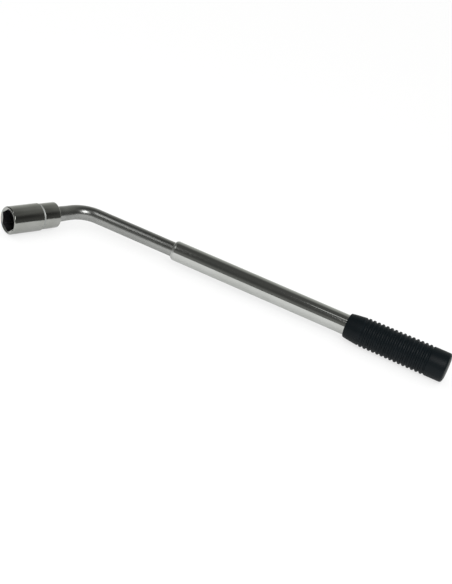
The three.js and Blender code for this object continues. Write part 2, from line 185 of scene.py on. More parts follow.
def rounded(corners, closed=False, step=math.radians(12)):
    """An outline through (x, r) or (x, r, fillet) corners, with an arc in each fillet."""
    points = []
    count = len(corners)
    for i, (x, r, *fillet) in enumerate(corners):
        here = Vector((x, r))
        if not fillet or (not closed and i in (0, count - 1)):
            points.append(here)
            continue
        before = (Vector(corners[i - 1][:2]) - here).normalized()
        after = (Vector(corners[(i + 1) % count][:2]) - here).normalized()
        inside = before.angle(after)
        turn = math.pi - inside
        middle = here + (before + after).normalized() * (fillet[0] / math.sin(inside / 2))
        start = here + before * (fillet[0] * math.tan(turn / 2)) - middle
        end = here + after * (fillet[0] * math.tan(turn / 2)) - middle
        steps = max(2, math.ceil(turn / step))
        for k in range(steps + 1):
            t = k / steps
            arm = (start * math.sin((1 - t) * turn) + end * math.sin(t * turn)) / math.sin(turn)
            points.append(middle + arm)
    return points


def round_angles(sides=SIDES, extra=()):
    """Even angles round a circle, and extra ones, without near doubles."""
    def apart(a, b):
        return abs((a - b + math.pi) % (2 * math.pi) - math.pi)

    wanted = sorted(a % (2 * math.pi) for a in extra)
    for k in range(sides):
        angle = 2 * math.pi * k / sides
        if all(apart(angle, other) > math.radians(0.6) for other in wanted):
            wanted.append(angle)
    return sorted(wanted)


def ring(x, radii, angles):
    """A ring of points round the X axis. radii is one radius, or one for each angle."""
    if not hasattr(radii, "__len__"):
        radii = [radii] * len(angles)
    return [Vector((x, r * math.cos(a), r * math.sin(a))) for r, a in zip(radii, angles)]


def loft(rings, closed=False):
    """A surface through rings of points. A ring of one point is a pole."""
    bm = bmesh.new()
    rows = [[bm.verts.new(p) for p in points] for points in rings]
    pairs = list(zip(rows, rows[1:]))
    if closed:
        pairs.append((rows[-1], rows[0]))
    for low, high in pairs:
        for k in range(max(len(low), len(high))):
            below = [low[k % len(low)], low[(k + 1) % len(low)]]
            above = [high[(k + 1) % len(high)], high[k % len(high)]]
            bm.faces.new(list(dict.fromkeys(below + above)))
    bmesh.ops.recalc_face_normals(bm, faces=bm.faces)
    return bm


def turned(outline, closed=False, sides=SIDES):
    """A body turned about the X axis. An open outline is closed by a pole at each end."""
    angles = round_angles(sides)
    rings = [ring(x, r, angles) for x, r in outline]
    if not closed:
        rings = [[Vector((outline[0][0], 0, 0))], *rings, [Vector((outline[-1][0], 0, 0))]]
    return loft(rings, closed)


def rod(radius, start, end):
    """A plain round cutter between two points."""
    length = (end - start).length
    bm = turned([Vector((0, radius)), Vector((length, radius))], sides=CUTTER_SIDES)
    turn = Vector((1, 0, 0)).rotation_difference(end - start).to_matrix().to_4x4()
    bm.transform(Matrix.Translation(start) @ turn)
    return bm


def to_object(name, bm, place):
    """An object made of the mesh, which place brings into the row frame."""
    bm.transform(place)
    bmesh.ops.recalc_face_normals(bm, faces=bm.faces)
    mesh = bpy.data.meshes.new(name)
    bm.to_mesh(mesh)
    bm.free()
    obj = bpy.data.objects.new(name, mesh)
    bpy.context.scene.collection.objects.link(obj)
    return obj


def drill(obj, place, *cutters):
    """Cuts the cutters out of the object's mesh."""
    for cutter in cutters:
        tool = to_object("cutter", cutter, place)
        modifier = obj.modifiers.new("drill", "BOOLEAN")
        modifier.operation = "DIFFERENCE"
        modifier.solver = "EXACT"
        modifier.object = tool
        graph = bpy.context.evaluated_depsgraph_get()
        mesh = bpy.data.meshes.new_from_object(obj.evaluated_get(graph))
        obj.modifiers.clear()
        obj.data = mesh
        bpy.data.objects.remove(tool)


def drive_ball_hole(bottom, top):
    """A cutter for the drive ball's hole, between two heights."""
    return rod(BALL_HOLE_R, Vector((DRIVE_BALL_AT, 0, bottom)), Vector((DRIVE_BALL_AT, 0, top)))


def tail_holes():
    """Cutters for the detent balls' hole and the pin's hole, right through bar and sleeve."""
    return (
        rod(BALL_HOLE_R, Vector((DETENT_AT, 0, -THROUGH)), Vector((DETENT_AT, 0, THROUGH))),
        rod(PIN_HOLE_R, Vector((PIN_AT, -THROUGH, 0)), Vector((PIN_AT, THROUGH, 0))),
    )


def piece(obj, body, node, slot, *materials):
    """Finishes a piece: smooth shading, materials, the body it rides on, and hiding the CAD part it
    stands for.
    """
    obj.data.shade_smooth()
    obj.data.set_sharp_from_angle(angle=SHARP_ANGLE)
    obj.data.materials.clear()
    for material in materials:
        obj.data.materials.append(material)
    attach(obj, body)
    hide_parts(node)


# ---- Material helpers ----

# Places of the colour sockets on a Mix node.
MIX_FIRST, MIX_SECOND, MIX_RESULT = 6, 7, 2


def feed(tree, socket, value):
    """Links an output to a socket, or sets the socket to a plain value."""
    if isinstance(value, bpy.types.NodeSocket):
        tree.links.new(value, socket)
    else:
        socket.default_value = value


def mix(tree, share, first, second):
    """A colour between two colours; share is an output, from 0 for the first to 1."""
    node = tree.nodes.new("ShaderNodeMix")
    node.data_type = "RGBA"
    tree.links.new(share, node.inputs["Factor"])
    for place, value in ((MIX_FIRST, first), (MIX_SECOND, second)):
        colour = value if isinstance(value, bpy.types.NodeSocket) else (*value, 1.0)
        feed(tree, node.inputs[place], colour)
    return node.outputs[MIX_RESULT]


class Shader:
    """A node material in the making. Its textures are placed in the row frame, in metres."""

    def __init__(self, name):
        self.material = bpy.data.materials.new(name)
        self.material.use_nodes = True
        self.tree = self.material.node_tree
        self.surface = self.tree.nodes["Principled BSDF"]
        self.place = self.add("ShaderNodeTexCoord").outputs["Object"]

    def add(self, kind, **settings):
        node = self.tree.nodes.new(kind)
        for key, value in settings.items():
            setattr(node, key, value)
        return node

    def put(self, node, **inputs):
        for key, value in inputs.items():
            feed(self.tree, node.inputs[key.replace("_", " ")], value)
        return node

    def noise(self, scale, detail=3.0, roughness=0.5, turn=0.0):
        """Noise with features 1/scale metres across, one scale for each axis."""
        mapping = self.add("ShaderNodeMapping")
        self.put(mapping, Vector=self.place, Scale=scale, Rotation=(0, 0, turn))
        texture = self.add("ShaderNodeTexNoise")
        self.put(texture, Vector=mapping.outputs["Vector"], Scale=1.0)
        self.put(texture, Detail=detail, Roughness=roughness)
        return texture.outputs["Fac"]

    def spread(self, value, low, high, to_low, to_high):
        """Maps the range from low to high onto another one, and holds it there outside."""
        node = self.add("ShaderNodeMapRange", clamp=True)
        self.put(node, Value=value, From_Min=low, From_Max=high, To_Min=to_low, To_Max=to_high)
        return node.outputs["Result"]

    def math(self, operation, *values):
        node = self.add("ShaderNodeMath", operation=operation)
        for socket, value in zip(node.inputs, values):
            feed(self.tree, socket, value)
        return node.outputs["Value"]

    def blend(self, share, first, second):
        return mix(self.tree, share, first, second)

    def bump(self, height, depth, strength=1.0, below=None):
        """A bumped normal, on top of another one if it is given. depth is in metres."""
        node = self.add("ShaderNodeBump")
        self.put(node, Height=height, Distance=depth, Strength=strength)
        if below is not None:
            self.put(node, Normal=below)
        return node.outputs["Normal"]

    def finish(self, **inputs):
        self.put(self.surface, **inputs)
        return self.material


# ---- Materials ----

def chrome(name, bright, dull, smooth, rough, turn=0.0, lines=0.9, peel=0.0):
    """Chromed steel: polishing lines along the piece, smudges, and a slightly uneven surface.

    The colour goes from bright to dull and the roughness from smooth to rough in the smudges.
    turn is the piece's direction, lines the lines' depth, and peel how far forging shows through.
    """
    s = Shader(name)
    smudge = s.noise((30, 45, 45), detail=4.0, roughness=0.6, turn=turn)
    fine_lines = s.noise((14, 2600, 2600), detail=3.0, roughness=0.7, turn=turn)
    ripple = s.noise((45, 150, 150), detail=1.0, turn=turn)
    grain = s.noise((900, 900, 900), detail=2.0)
    mixed = s.math("ADD", s.math("MULTIPLY", smudge, 0.7), s.math("MULTIPLY", fine_lines, 0.3))
    normal = s.bump(ripple, 0.000006)
    normal = s.bump(fine_lines, 0.0000012 * lines, below=normal)
    if peel:
        normal = s.bump(grain, 0.000004 * peel, below=normal)
    return s.finish(
        Base_Color=s.blend(s.spread(mixed, 0.35, 0.65, 0.0, 1.0), bright, dull),
        Metallic=1.0,
        Roughness=s.spread(mixed, 0.35, 0.68, smooth, rough),
        Normal=normal,
    )


def steel(name, bright, dull, smooth, rough, scale, metallic=1.0):
    """Machined steel: fine turning marks and a thin film of oil."""
    s = Shader(name)
    marks = s.noise(scale, detail=2.0, roughness=0.6)
    film = s.noise((120, 120, 120), detail=4.0, roughness=0.6)
    return s.finish(
        Base_Color=s.blend(s.spread(film, 0.35, 0.65, 0.0, 1.0), bright, dull),
        Metallic=metallic,
        Roughness=s.spread(marks, 0.3, 0.7, smooth, rough),
        Normal=s.bump(marks, 0.000003),
    )


def rubber():
    """Soft black grip: a fine moulded grain, crests worn smoother, grooves lightened by dust and
    painted sheen, crests a little lighter with painted sheen.
    """
    s = Shader("grip_rubber")
    parts = s.add("ShaderNodeSeparateXYZ")
    s.put(parts, Vector=s.place)
    across = s.math("SUBTRACT", parts.outputs["Y"], corner.y)
    height = s.math("SUBTRACT", parts.outputs["Z"], corner.z)
    squares = s.math("ADD", s.math("MULTIPLY", across, across), s.math("MULTIPLY", height, height))
    radius = s.math("SQRT", squares)
    groove_r = (GRIP_CREST_R - RIDGE_DEPTH + 0.2) * MM
    crest = s.spread(radius, groove_r, (GRIP_CREST_R - 0.1) * MM, 0.0, 1.0)
    cloud = s.noise((70, 70, 70), detail=4.0, roughness=0.65)
    grain = s.noise((4200, 4200, 4200), detail=2.0, roughness=0.6)
    # Crests and collar: worn smoother, and their colour a little lighter with painted sheen.
    rubbed_and_sheen = s.math("MULTIPLY", crest, s.spread(cloud, 0.35, 0.65, 0.4, 1.0))
    cone_end = corner.x + GRIP_CONE_END_AT * MM
    ribbed = s.spread(parts.outputs["X"], cone_end, cone_end + MM, 0.0, 1.0)
    groove = s.math("MULTIPLY", ribbed, s.math("SUBTRACT", 1.0, crest))
    # Groove floors of the ribbed part: a lighter colour for dust and painted sheen.
    dust_and_sheen = s.math("MULTIPLY", groove, s.spread(cloud, 0.35, 0.65, 0.45, 1.0))
    colour = s.blend(rubbed_and_sheen, (0.0015, 0.0037, 0.0051), (0.0024, 0.0048, 0.0064))
    return s.finish(
        Base_Color=s.blend(dust_and_sheen, colour, (0.0088, 0.0122, 0.0146)),
        Roughness=s.spread(rubbed_and_sheen, 0.0, 1.0, 0.46, 0.42),
        Specular_IOR_Level=0.14,
        Normal=s.bump(grain, 0.00002, 0.35),
    )


def plastic():
    """Black moulded plug, with faint handling marks."""
    s = Shader("plug_plastic")
    cloud = s.noise((110, 110, 110), detail=4.0, roughness=0.65)
    grain = s.noise((2500, 2500, 2500), detail=2.0)
    marks = s.spread(cloud, 0.35, 0.65, 0.0, 1.0)
    return s.finish(
        Base_Color=s.blend(marks, (0.012, 0.0145, 0.014), (0.02, 0.024, 0.022)),
        Roughness=s.spread(cloud, 0.35, 0.65, 0.42, 0.52),
        Specular_IOR_Level=0.12,
        Normal=s.bump(grain, 0.00001, 0.25),
    )


def nylon():
    """Off-white nylon with a slightly cloudy colour."""
    s = Shader("ring_nylon")
    cloud = s.noise((200, 200, 200), detail=3.0, roughness=0.6)
    return s.finish(
        Base_Color=s.blend(s.spread(cloud, 0.35, 0.65, 0.0, 1.0), (0.8, 0.78, 0.7), (0.66, 0.63, 0.54)),
        Roughness=s.spread(cloud, 0.35, 0.65, 0.42, 0.55),
        Subsurface_Weight=0.05,
        Normal=s.bump(s.noise((1800, 1800, 1800), detail=2.0), 0.000008),
    )


tube_chrome = chrome("tube_chrome", (0.505, 0.515, 0.5), (0.435, 0.445, 0.425), 0.08, 0.17)
mouth_chrome = chrome("mouth_chrome", (0.47, 0.48, 0.465), (0.4, 0.41, 0.395), 0.34, 0.44)
# The bar and socket are darker than the tube: partly duller chrome, partly painted shade for the shaded
# floor they mirror.
bar_chrome = chrome("bar_chrome", (0.33, 0.335, 0.325), (0.275, 0.28, 0.27), 0.24, 0.33, lines=0.7)
socket_chrome = chrome(
    "socket_chrome", (0.35, 0.355, 0.34), (0.29, 0.295, 0.275), 0.09, 0.18,
    turn=-BEND_TURN, lines=0.6, peel=1.0,
)
bore_steel = steel("bore_steel", (0.3, 0.29, 0.3), (0.2, 0.195, 0.2), 0.3, 0.45, (300, 300, 300))
groove_satin = steel(
    "groove_satin", (0.34, 0.35, 0.34), (0.28, 0.29, 0.28), 0.45, 0.6, (900, 900, 900), metallic=0.35
)
turned_steel = steel("turned_steel", (0.5, 0.51, 0.52), (0.36, 0.37, 0.38), 0.22, 0.38, (3000, 60, 60))
ball_steel = steel("ball_steel", (0.62, 0.63, 0.64), (0.5, 0.51, 0.52), 0.06, 0.14, (400, 400, 400))
spring_steel = steel(
    "spring_steel", (0.38, 0.4, 0.42), (0.24, 0.25, 0.26), 0.25, 0.42, (1500, 1500, 1500)
)
grip_rubber = rubber()
plug_plastic = plastic()
ring_nylon = nylon()


# ---- Outer tube ----

def click_groove(place):
    """The ring groove in the bore, as the outline meets it on the way back to the mouth."""
    return [
        (place + 1.7, TUBE_BORE_R, 0.4),
        (place + 0.85, CLICK_GROOVE_R, 0.3),
        (place - 0.85, CLICK_GROOVE_R, 0.3),
        (place - 1.7, TUBE_BORE_R, 0.4),
    ]


mouth = []
for k in range(TUBE_MOUTH_STEPS + 1):
    angle = k / TUBE_MOUTH_STEPS * math.pi / 2
    mouth.append((
        TUBE_MOUTH_AT + TUBE_MOUTH_LENGTH * (1 - math.cos(angle)),
        TUBE_MOUTH_R + (TUBE_R - TUBE_MOUTH_R) * math.sin(angle),
    ))
inside = [
    (TUBE_END_AT, TUBE_R, 0.3),
    (TUBE_END_AT, TUBE_BORE_R, 0.3),
    *click_groove(DETENT_AT),
    *click_groove(DETENT_AT - TRAVEL),
    (TUBE_MOUTH_AT + 4.8, TUBE_BORE_R, 0.4),
    (TUBE_MOUTH_AT + 4.2, TUBE_LIP_R, 0.3),
    (TUBE_MOUTH_AT + 0.3, TUBE_LIP_R, 0.15),
    (TUBE_MOUTH_AT, 7.6, 0.08),
]
tube_outline = rounded([*mouth, *inside], closed=True)
tube = to_object("tube", turned(tube_outline, closed=True), ON_HANDLE)
piece(tube, "handle", "outer_tube", "chromed_tube", tube_chrome, mouth_chrome)
# The rolled mouth, both outside and in its bore, is duller.
for face in tube.data.polygons:
    if (face.center - corner).x < (TUBE_MOUTH_AT + 3.2) * MM:
        face.material_index = 1


# ---- Grip and end plug ----

def flattened(turn):
    """A wave with flattened tops and bottoms: high at 0, in a valley, and low at 0.5, on a crest."""
    return math.tanh(RIDGE_FLATNESS * (math.cos(2 * math.pi * turn) - CREST_BREADTH))


first_valley = GRIP_CONE_END_AT + FIRST_VALLEY
last_valley = first_valley + RIDGES * RIDGE_PITCH
ridge_swing = flattened(0) - flattened(0.5)
ridges = []
for k in range(RIDGES * RIDGE_STEPS + 1):
    x = first_valley + k * RIDGE_PITCH / RIDGE_STEPS
    crest_line = GRIP_CREST_R + GRIP_TAPER * (x - GRIP_CONE_END_AT)
    drop = RIDGE_DEPTH * (flattened(k / RIDGE_STEPS) - flattened(0.5)) / ridge_swing
    ridges.append((x, crest_line - drop))
grip_outline = rounded([
    (GRIP_FRONT_AT, GRIP_BORE_R, 0.25),
    (GRIP_FRONT_AT, 11.3, 1.6),
    (GRIP_FRONT_AT + 4.5, 12.0, 9.0),
    (GRIP_CONE_END_AT + 0.4, GRIP_CONE_END_R, 0.4),
    *ridges,
    (last_valley + 1.2, GRIP_COLLAR_R, 0.6),
    (GRIP_END_AT - 1.2, GRIP_COLLAR_R, 2.2),
    (GRIP_END_AT, 12.8, 0.7),
    (GRIP_END_AT, GRIP_SEAT_R, 0.1),
    (GRIP_END_AT - GRIP_SEAT_DEPTH, GRIP_SEAT_R, 0.2),
    (GRIP_END_AT - GRIP_SEAT_DEPTH, GRIP_BORE_R, 0.2),
], closed=True, step=math.radians(9))
grip = to_object("grip_sleeve", turned(grip_outline, closed=True), ON_HANDLE)
piece(grip, "handle", "grip", "grip_rubber", grip_rubber)

plug_outline = rounded([
    (PLUG_STEM_AT, 6.9),
    (PLUG_STEM_AT + 1.0, PLUG_STEM_R, 0.4),
    (PLUG_HEAD_AT, PLUG_STEM_R, 0.4),
    (PLUG_HEAD_AT, PLUG_HEAD_R, 0.3),
    (371.4, PLUG_HEAD_R, 0.5),
    (372.05, 9.6, 9.0),
    (PLUG_TOP_AT, 4.0, 20.0),
    (PLUG_TOP_AT, 2.0),
], step=math.radians(4))
plug = to_object("end_cap", turned(plug_outline), ON_HANDLE)
piece(plug, "handle", "end_plug", "plug_plastic", plug_plastic)


# ---- Bar ----

def flatted_square(angle, half, flat):
    """Distance from the middle to the outline of a square with flats on its corners."""
    c, s = abs(math.cos(angle)), abs(math.sin(angle))
    return min(half / max(c, 1e-9), half / max(s, 1e-9), (2 * half - flat) / (c + s))


def square_corners(half, flat):
    """The angles of both ends and the middle of each flat."""
    inner = math.atan2(half - flat, half)
    flat_angles = (inner, math.pi / 4, math.pi / 2 - inner)
    return [quarter * math.pi / 2 + a for quarter in range(4) for a in flat_angles]


bar_angles = round_angles(BAR_SIDES, square_corners(DRIVE_HALF, DRIVE_FLAT))


def square_radii(inset):
    """The drive's outline, drawn in by the inset; the flats on its corners shrink with it."""
    return [flatted_square(a, DRIVE_HALF - inset, DRIVE_FLAT * (1 - 0.3 * inset)) for a in bar_angles]


def shoulder_radii(round_r):
    """The round neck, with the drive's corners where they stand out of it."""
    return [max(round_r, r) for r in square_radii(0)]


# The short leg, from the drive's tip to the neck, along the leg's own +X.
leg_rings = [
    [Vector((DRIVE_TIP_AT, 0, 0))],
    ring(DRIVE_TIP_AT, [0.5 * r for r in square_radii(1.2)], bar_angles),
    ring(DRIVE_TIP_AT, square_radii(1.2), bar_angles),
    ring(DRIVE_TIP_AT - 0.1, square_radii(0.98), bar_angles),
    ring(DRIVE_TIP_AT - 0.9, square_radii(0.15), bar_angles),
    ring(DRIVE_TIP_AT - 1.1, square_radii(0.0), bar_angles),
    ring(SHOULDER_AT + 0.3, square_radii(0.0), bar_angles),
    ring(SHOULDER_AT, shoulder_radii(6.6), bar_angles),
    ring(SHOULDER_AT - 0.3, shoulder_radii(6.95), bar_angles),
    ring(SHOULDER_AT - 1.0, shoulder_radii(NECK_R - 0.06), bar_angles),
    ring(SHOULDER_AT - 1.8, shoulder_radii(NECK_R), bar_angles),
    ring(SHOULDER_AT - 2.3, NECK_R, bar_angles),
]
for k in range(NECK_STEPS + 1):
    t = k / NECK_STEPS
    x = NECK_FULL_AT - t * (NECK_FULL_AT - NECK_AT)
    r = BAR_R + (NECK_R - BAR_R) * (0.5 + 0.5 * math.cos(t * math.pi))
    leg_rings.append(ring(x, r, bar_angles))
to_leg = Matrix.Rotation(math.pi + BEND_TURN, 3, "Z")
bar_rings = [[to_leg @ p for p in points] for points in leg_rings]

# The bend: the section turns about the bend's centre, and flattens a little as a cold bend does.
bend_end_at = BEND_R * math.tan(BEND_TURN / 2)
for k in range(BEND_STEPS + 1):
    still = BEND_TURN * (1 - k / BEND_STEPS)  # the part of the turn that is left
    middle = Vector((bend_end_at - BEND_R * math.sin(still), -BEND_R * (1 - math.cos(still)), 0))
    flatten = BEND_FLATTENING * math.sin(math.pi * k / BEND_STEPS) ** 2
    turn = Matrix.Rotation(math.pi + still, 3, "Z")
    points = []
    for a in bar_angles:
        across = BAR_R * math.cos(a) * (1 - flatten)
        up = BAR_R * math.sin(a) * (1 + 0.3 * flatten)
        points.append(middle + turn @ Vector((0, across, up)))
    bar_rings.append(points)

# The handle side is a plain bar, then the spigot that carries the guide sleeve.
half_turn = Matrix.Rotation(math.pi, 3, "Z")
tail = rounded([
    (SLEEVE_FRONT_AT - 60, BAR_R),
    (SLEEVE_FRONT_AT, BAR_R, 0.3),
    (SLEEVE_FRONT_AT, SPIGOT_R, 0.4),
    (TAIL_END_AT - TAIL_BEVEL, SPIGOT_R, 0.2),
    (TAIL_END_AT, SPIGOT_R - TAIL_BEVEL, 0.2),
    (TAIL_END_AT, 2.0),
])
for x, r in tail:
    bar_rings.append([half_turn @ p for p in ring(-x, r, bar_angles)])
bar_rings.append([Vector((TAIL_END_AT, 0, 0))])
bar = to_object("bar", loft(bar_rings), ON_HANDLE)
drill(bar, ON_LEG, drive_ball_hole(DRIVE_HOLE_BOTTOM, THROUGH))
drill(bar, ON_HANDLE, *tail_holes())
piece(bar, "bar", "drive_bar", "chromed_bar", bar_chrome)


# ---- Socket ----

def hexagon(angle, across_flats):
    """Distance from the middle to the outline of a hexagon with rounded corners."""
    apothem = across_flats / 2
    off = abs((angle - HEX_CORNER_AT + math.pi / 6) % (math.pi / 3) - math.pi / 6)
    centre = (apothem - HEX_CORNER_R) / math.cos(math.pi / 6)
    edge = math.atan2(HEX_CORNER_R / 2, centre + HEX_CORNER_R * math.cos(math.pi / 6))
    if off < edge:
        return centre * math.cos(off) + math.sqrt(HEX_CORNER_R**2 - (centre * math.sin(off)) ** 2)
    return apothem / math.cos(math.pi / 6 - off)


# Angles close together round each corner of the hexagons, in degrees from the corner.
CORNER_FAN = (-6.1, -5.4, -3.6, -1.8, 0, 1.8, 3.6, 5.4, 6.1)
hex_angles = [HEX_CORNER_AT + k * math.pi / 3 + math.radians(a) for k in range(6) for a in CORNER_FAN]
socket_angles = round_angles(SIDES, [*hex_angles, *square_corners(HOLE_HALF, DRIVE_FLAT)])


def pocket(across_flats, rim, inward, depth):
    """Rings of a hexagonal pocket from its rim inwards; inward is -1 or +1 along X."""
    outline = [hexagon(a, across_flats) for a in socket_angles]
    rim_r = across_flats / 2 + HEX_LEAD_IN
    mouth_ring = [max(rim_r, r) for r in outline]
    # The conical lead-in reaches deepest at the flats, so its lower edge waves up and down.
    lead_end = []
    for r, a in zip(outline, socket_angles):
        x = rim + inward * ((rim_r - r) * HEX_LEAD_DEPTH / HEX_LEAD_IN + HEX_RIM_EDGE)
        lead_end.append(Vector((x, r * math.cos(a), r * math.sin(a))))
    return [
        ring(rim, [r + 0.12 for r in mouth_ring], socket_angles),
        ring(rim + inward * HEX_RIM_EDGE, mouth_ring, socket_angles),
        lead_end,
        ring(rim + inward * 2.5, outline, socket_angles),
        ring(rim + inward * (depth - HEX_FLOOR_BEVEL), outline, socket_angles),
        ring(rim + inward * depth, [r - HEX_FLOOR_BEVEL for r in outline], socket_angles),
    ]


# The first and last corners only steer the fillets beside them, and are left out of the rings.
socket_outline = rounded([
    (SOCKET_REAR_AT, 10.0),
    (SOCKET_REAR_AT, SOCKET_REAR_R, 1.0),
    (SOCKET_GROOVE_AT, SOCKET_REAR_R, 0.2),
    (SOCKET_STEP_AT - 1.0, SOCKET_GROOVE_R, 0.3),
    (SOCKET_STEP_AT, SOCKET_FRONT_R, 0.4),
    (SOCKET_FRONT_AT - SOCKET_RIM_BEVEL, SOCKET_FRONT_R, 0.9),
    (SOCKET_FRONT_AT, SOCKET_FRONT_R - SOCKET_RIM_BEVEL, 0.3),
    (SOCKET_FRONT_AT, 11.0),
], step=math.radians(9))[1:-1]
hole = [flatted_square(a, HOLE_HALF, DRIVE_FLAT) for a in socket_angles]
hole_mouth = [r + HOLE_BEVEL for r in hole]
front_floor = SOCKET_FRONT_AT - HEX_FRONT_DEPTH
rear_floor = SOCKET_REAR_AT + HEX_REAR_DEPTH
socket_rings = [
    *[ring(x, r, socket_angles) for x, r in socket_outline],
    *pocket(HEX_FRONT_AF, SOCKET_FRONT_AT, -1, HEX_FRONT_DEPTH),
    ring(front_floor, hole_mouth, socket_angles),
    ring(front_floor - HOLE_BEVEL, hole, socket_angles),
    ring(rear_floor + HOLE_BEVEL, hole, socket_angles),
    ring(rear_floor, hole_mouth, socket_angles),
    *reversed(pocket(HEX_REAR_AF, SOCKET_REAR_AT, 1, HEX_REAR_DEPTH)),
]
socket = to_object("socket", loft(socket_rings, closed=True), ON_LEG)
drill(socket, ON_LEG, drive_ball_hole(0, SOCKET_RECESS_TOP))
piece(socket, "socket", "wheel_nut_socket", "chromed_socket", socket_chrome, bore_steel, groove_satin)
# The chrome reaches a little way into the mouths; inside is bare steel, and the groove is satin.
to_socket = ON_LEG.inverted()
for face in socket.data.polygons:
    middle = to_socket @ face.center
    depth = min(SOCKET_FRONT_AT - middle.x, middle.x - SOCKET_REAR_AT)
    if depth > 1.2 and math.hypot(middle.y, middle.z) < 10.9:
        face.material_index = 1
    elif SOCKET_GROOVE_AT + 0.1 < middle.x < SOCKET_STEP_AT - 0.2:
        face.material_index = 2


# ---- Small parts in the tail of the bar and in the drive ----

seat_from, seat_to = RING_AT - RING_SEAT_HALF_WIDTH, RING_AT + RING_SEAT_HALF_WIDTH
sleeve_outline = rounded([
    (SLEEVE_FRONT_AT + 0.3, SLEEVE_R - SLEEVE_BEVEL, 0.15),
    (SLEEVE_FRONT_AT + 0.8, SLEEVE_R, 0.3),
    (seat_from, SLEEVE_R, 0.12),
    (seat_from, RING_SEAT_R, 0.15),
    (seat_to, RING_SEAT_R, 0.15),
    (seat_to, SLEEVE_R, 0.12),
    (TAIL_END_AT - 1.0, SLEEVE_R, 0.3),
    (TAIL_END_AT - 0.5, SLEEVE_R - SLEEVE_BEVEL, 0.15),
    (TAIL_END_AT - 0.5, SLEEVE_BORE_R, 0.2),
    (SLEEVE_FRONT_AT + 0.3, SLEEVE_BORE_R, 0.2),
], closed=True)
sleeve = to_object("guide_bush", turned(sleeve_outline, closed=True), ON_HANDLE)
drill(sleeve, ON_HANDLE, *tail_holes())
piece(sleeve, "bar", "guide_sleeve", "turned_steel", turned_steel)


def open_ring(outline, gap, sides):
    """A turned body with a gap in it, such as a split ring, with its two ends closed."""
    rows = []
    for k in range(sides + 1):
        a = gap / 2 + (2 * math.pi - gap) * k / sides
        rows.append([Vector((x, r * math.cos(a), r * math.sin(a))) for x, r in outline])
    bm = loft(rows)
    for end in (rows[0], rows[-1]):
        bm.faces.new([min(bm.verts, key=lambda v: (v.co - p).length) for p in end])
    return bm


split_outline = rounded([
    (RING_AT - RING_HALF_WIDTH, RING_INNER_R, 0.15),
    (RING_AT - RING_HALF_WIDTH, RING_R, 0.25),
    (RING_AT + RING_HALF_WIDTH, RING_R, 0.25),
    (RING_AT + RING_HALF_WIDTH, RING_INNER_R, 0.15),
], closed=True)
split_ring = to_object("split_ring", open_ring(split_outline, RING_SPLIT, 96), ON_HANDLE)
piece(split_ring, "friction_ring", "friction_ring", "nylon", ring_nylon)

pin_outline = rounded([
    (-PIN_HALF_LENGTH, PIN_BORE_R, 0.1),
    (-PIN_HALF_LENGTH, PIN_R, 0.4),
    (PIN_HALF_LENGTH, PIN_R, 0.4),
    (PIN_HALF_LENGTH, PIN_BORE_R, 0.1),
], closed=True)
along_y = ON_HANDLE @ Matrix.Translation((PIN_AT, 0, 0)) @ Matrix.Rotation(math.pi / 2, 4, "Z")
pin = to_object("spring_pin", open_ring(pin_outline, PIN_SPLIT, 48), along_y)
piece(pin, "bar", "sleeve_pin", "spring_steel", spring_steel)


def ball(name, place, body, node):
    """A ground bearing ball, made from a cube divided and pushed out onto the sphere."""
    bm = bmesh.new()
    bmesh.ops.create_cube(bm, size=2)
    bmesh.ops.subdivide_edges(bm, edges=bm.edges[:], cuts=11, use_grid_fill=True)
    for v in bm.verts:
        v.co = v.co.normalized() * BALL_R
    made = to_object(name, bm, place)
    piece(made, body, node, "hard_steel_ball", ball_steel)


def coil(name, place, height, node):
    """A compression spring standing on the XY plane, its end coils closed."""
    steps = 36
    wire_sides = 12
    lift = height - 2 * SPRING_WIRE_R
    closed_rise = SPRING_CLOSED_TURNS * 2 * SPRING_WIRE_R
    open_turns = SPRING_TURNS - 2 * SPRING_CLOSED_TURNS
    wire_angles = round_angles(wire_sides)
    rings = []
    for k in range(SPRING_TURNS * steps + 1):
        t = k / steps
        if t < SPRING_CLOSED_TURNS:
            z = closed_rise * t / SPRING_CLOSED_TURNS
        elif t > SPRING_TURNS - SPRING_CLOSED_TURNS:
            z = lift - closed_rise * (SPRING_TURNS - t) / SPRING_CLOSED_TURNS
        else:
            z = closed_rise + (lift - 2 * closed_rise) * (t - SPRING_CLOSED_TURNS) / open_turns
        a = 2 * math.pi * t
        middle = Vector((SPRING_R * math.cos(a), SPRING_R * math.sin(a), SPRING_WIRE_R + z))
        out = Vector((math.cos(a), math.sin(a), 0))
        up = Vector((0, 0, 1))
        rings.append([
            middle + SPRING_WIRE_R * (out * math.cos(b) + up * math.sin(b)) for b in wire_angles
        ])
    first, last = (sum(rings[i], Vector()) / wire_sides for i in (0, -1))
    made = to_object(name, loft([[first], *rings, [last]]), place)
    piece(made, "bar", node, "spring_steel", spring_steel)


def in_drive(height):
    return ON_LEG @ Matrix.Translation((DRIVE_BALL_AT, 0, height))


def in_tail(height):
    return ON_HANDLE @ Matrix.Translation((DETENT_AT, 0, height))


ball("drive_detent_ball", in_drive(DRIVE_BALL_HEIGHT), "drive_ball", "drive_ball")
coil("drive_detent_spring", in_drive(DRIVE_HOLE_BOTTOM + 0.1), 5.3, "drive_ball_spring")
for name, side in (("detent_ball_upper", 1), ("detent_ball_lower", -1)):
    ball(name + "_ball", in_tail(side * DETENT_BALL_HEIGHT), name, name)
coil("tail_detent_spring", in_tail(-3.3), 6.6, "detent_spring")


# ---- Floor, light and camera ----

# The floor glows a little, so the shadows on it are faint. Mirrored in the chrome they are deeper.
FLOOR_PALE_SEEN, FLOOR_GLOW_SEEN = 0.2, 0.74
FLOOR_PALE_MIRRORED, FLOOR_GLOW_MIRRORED = 0.62, 0.22
FLOOR_HALF_M = 8

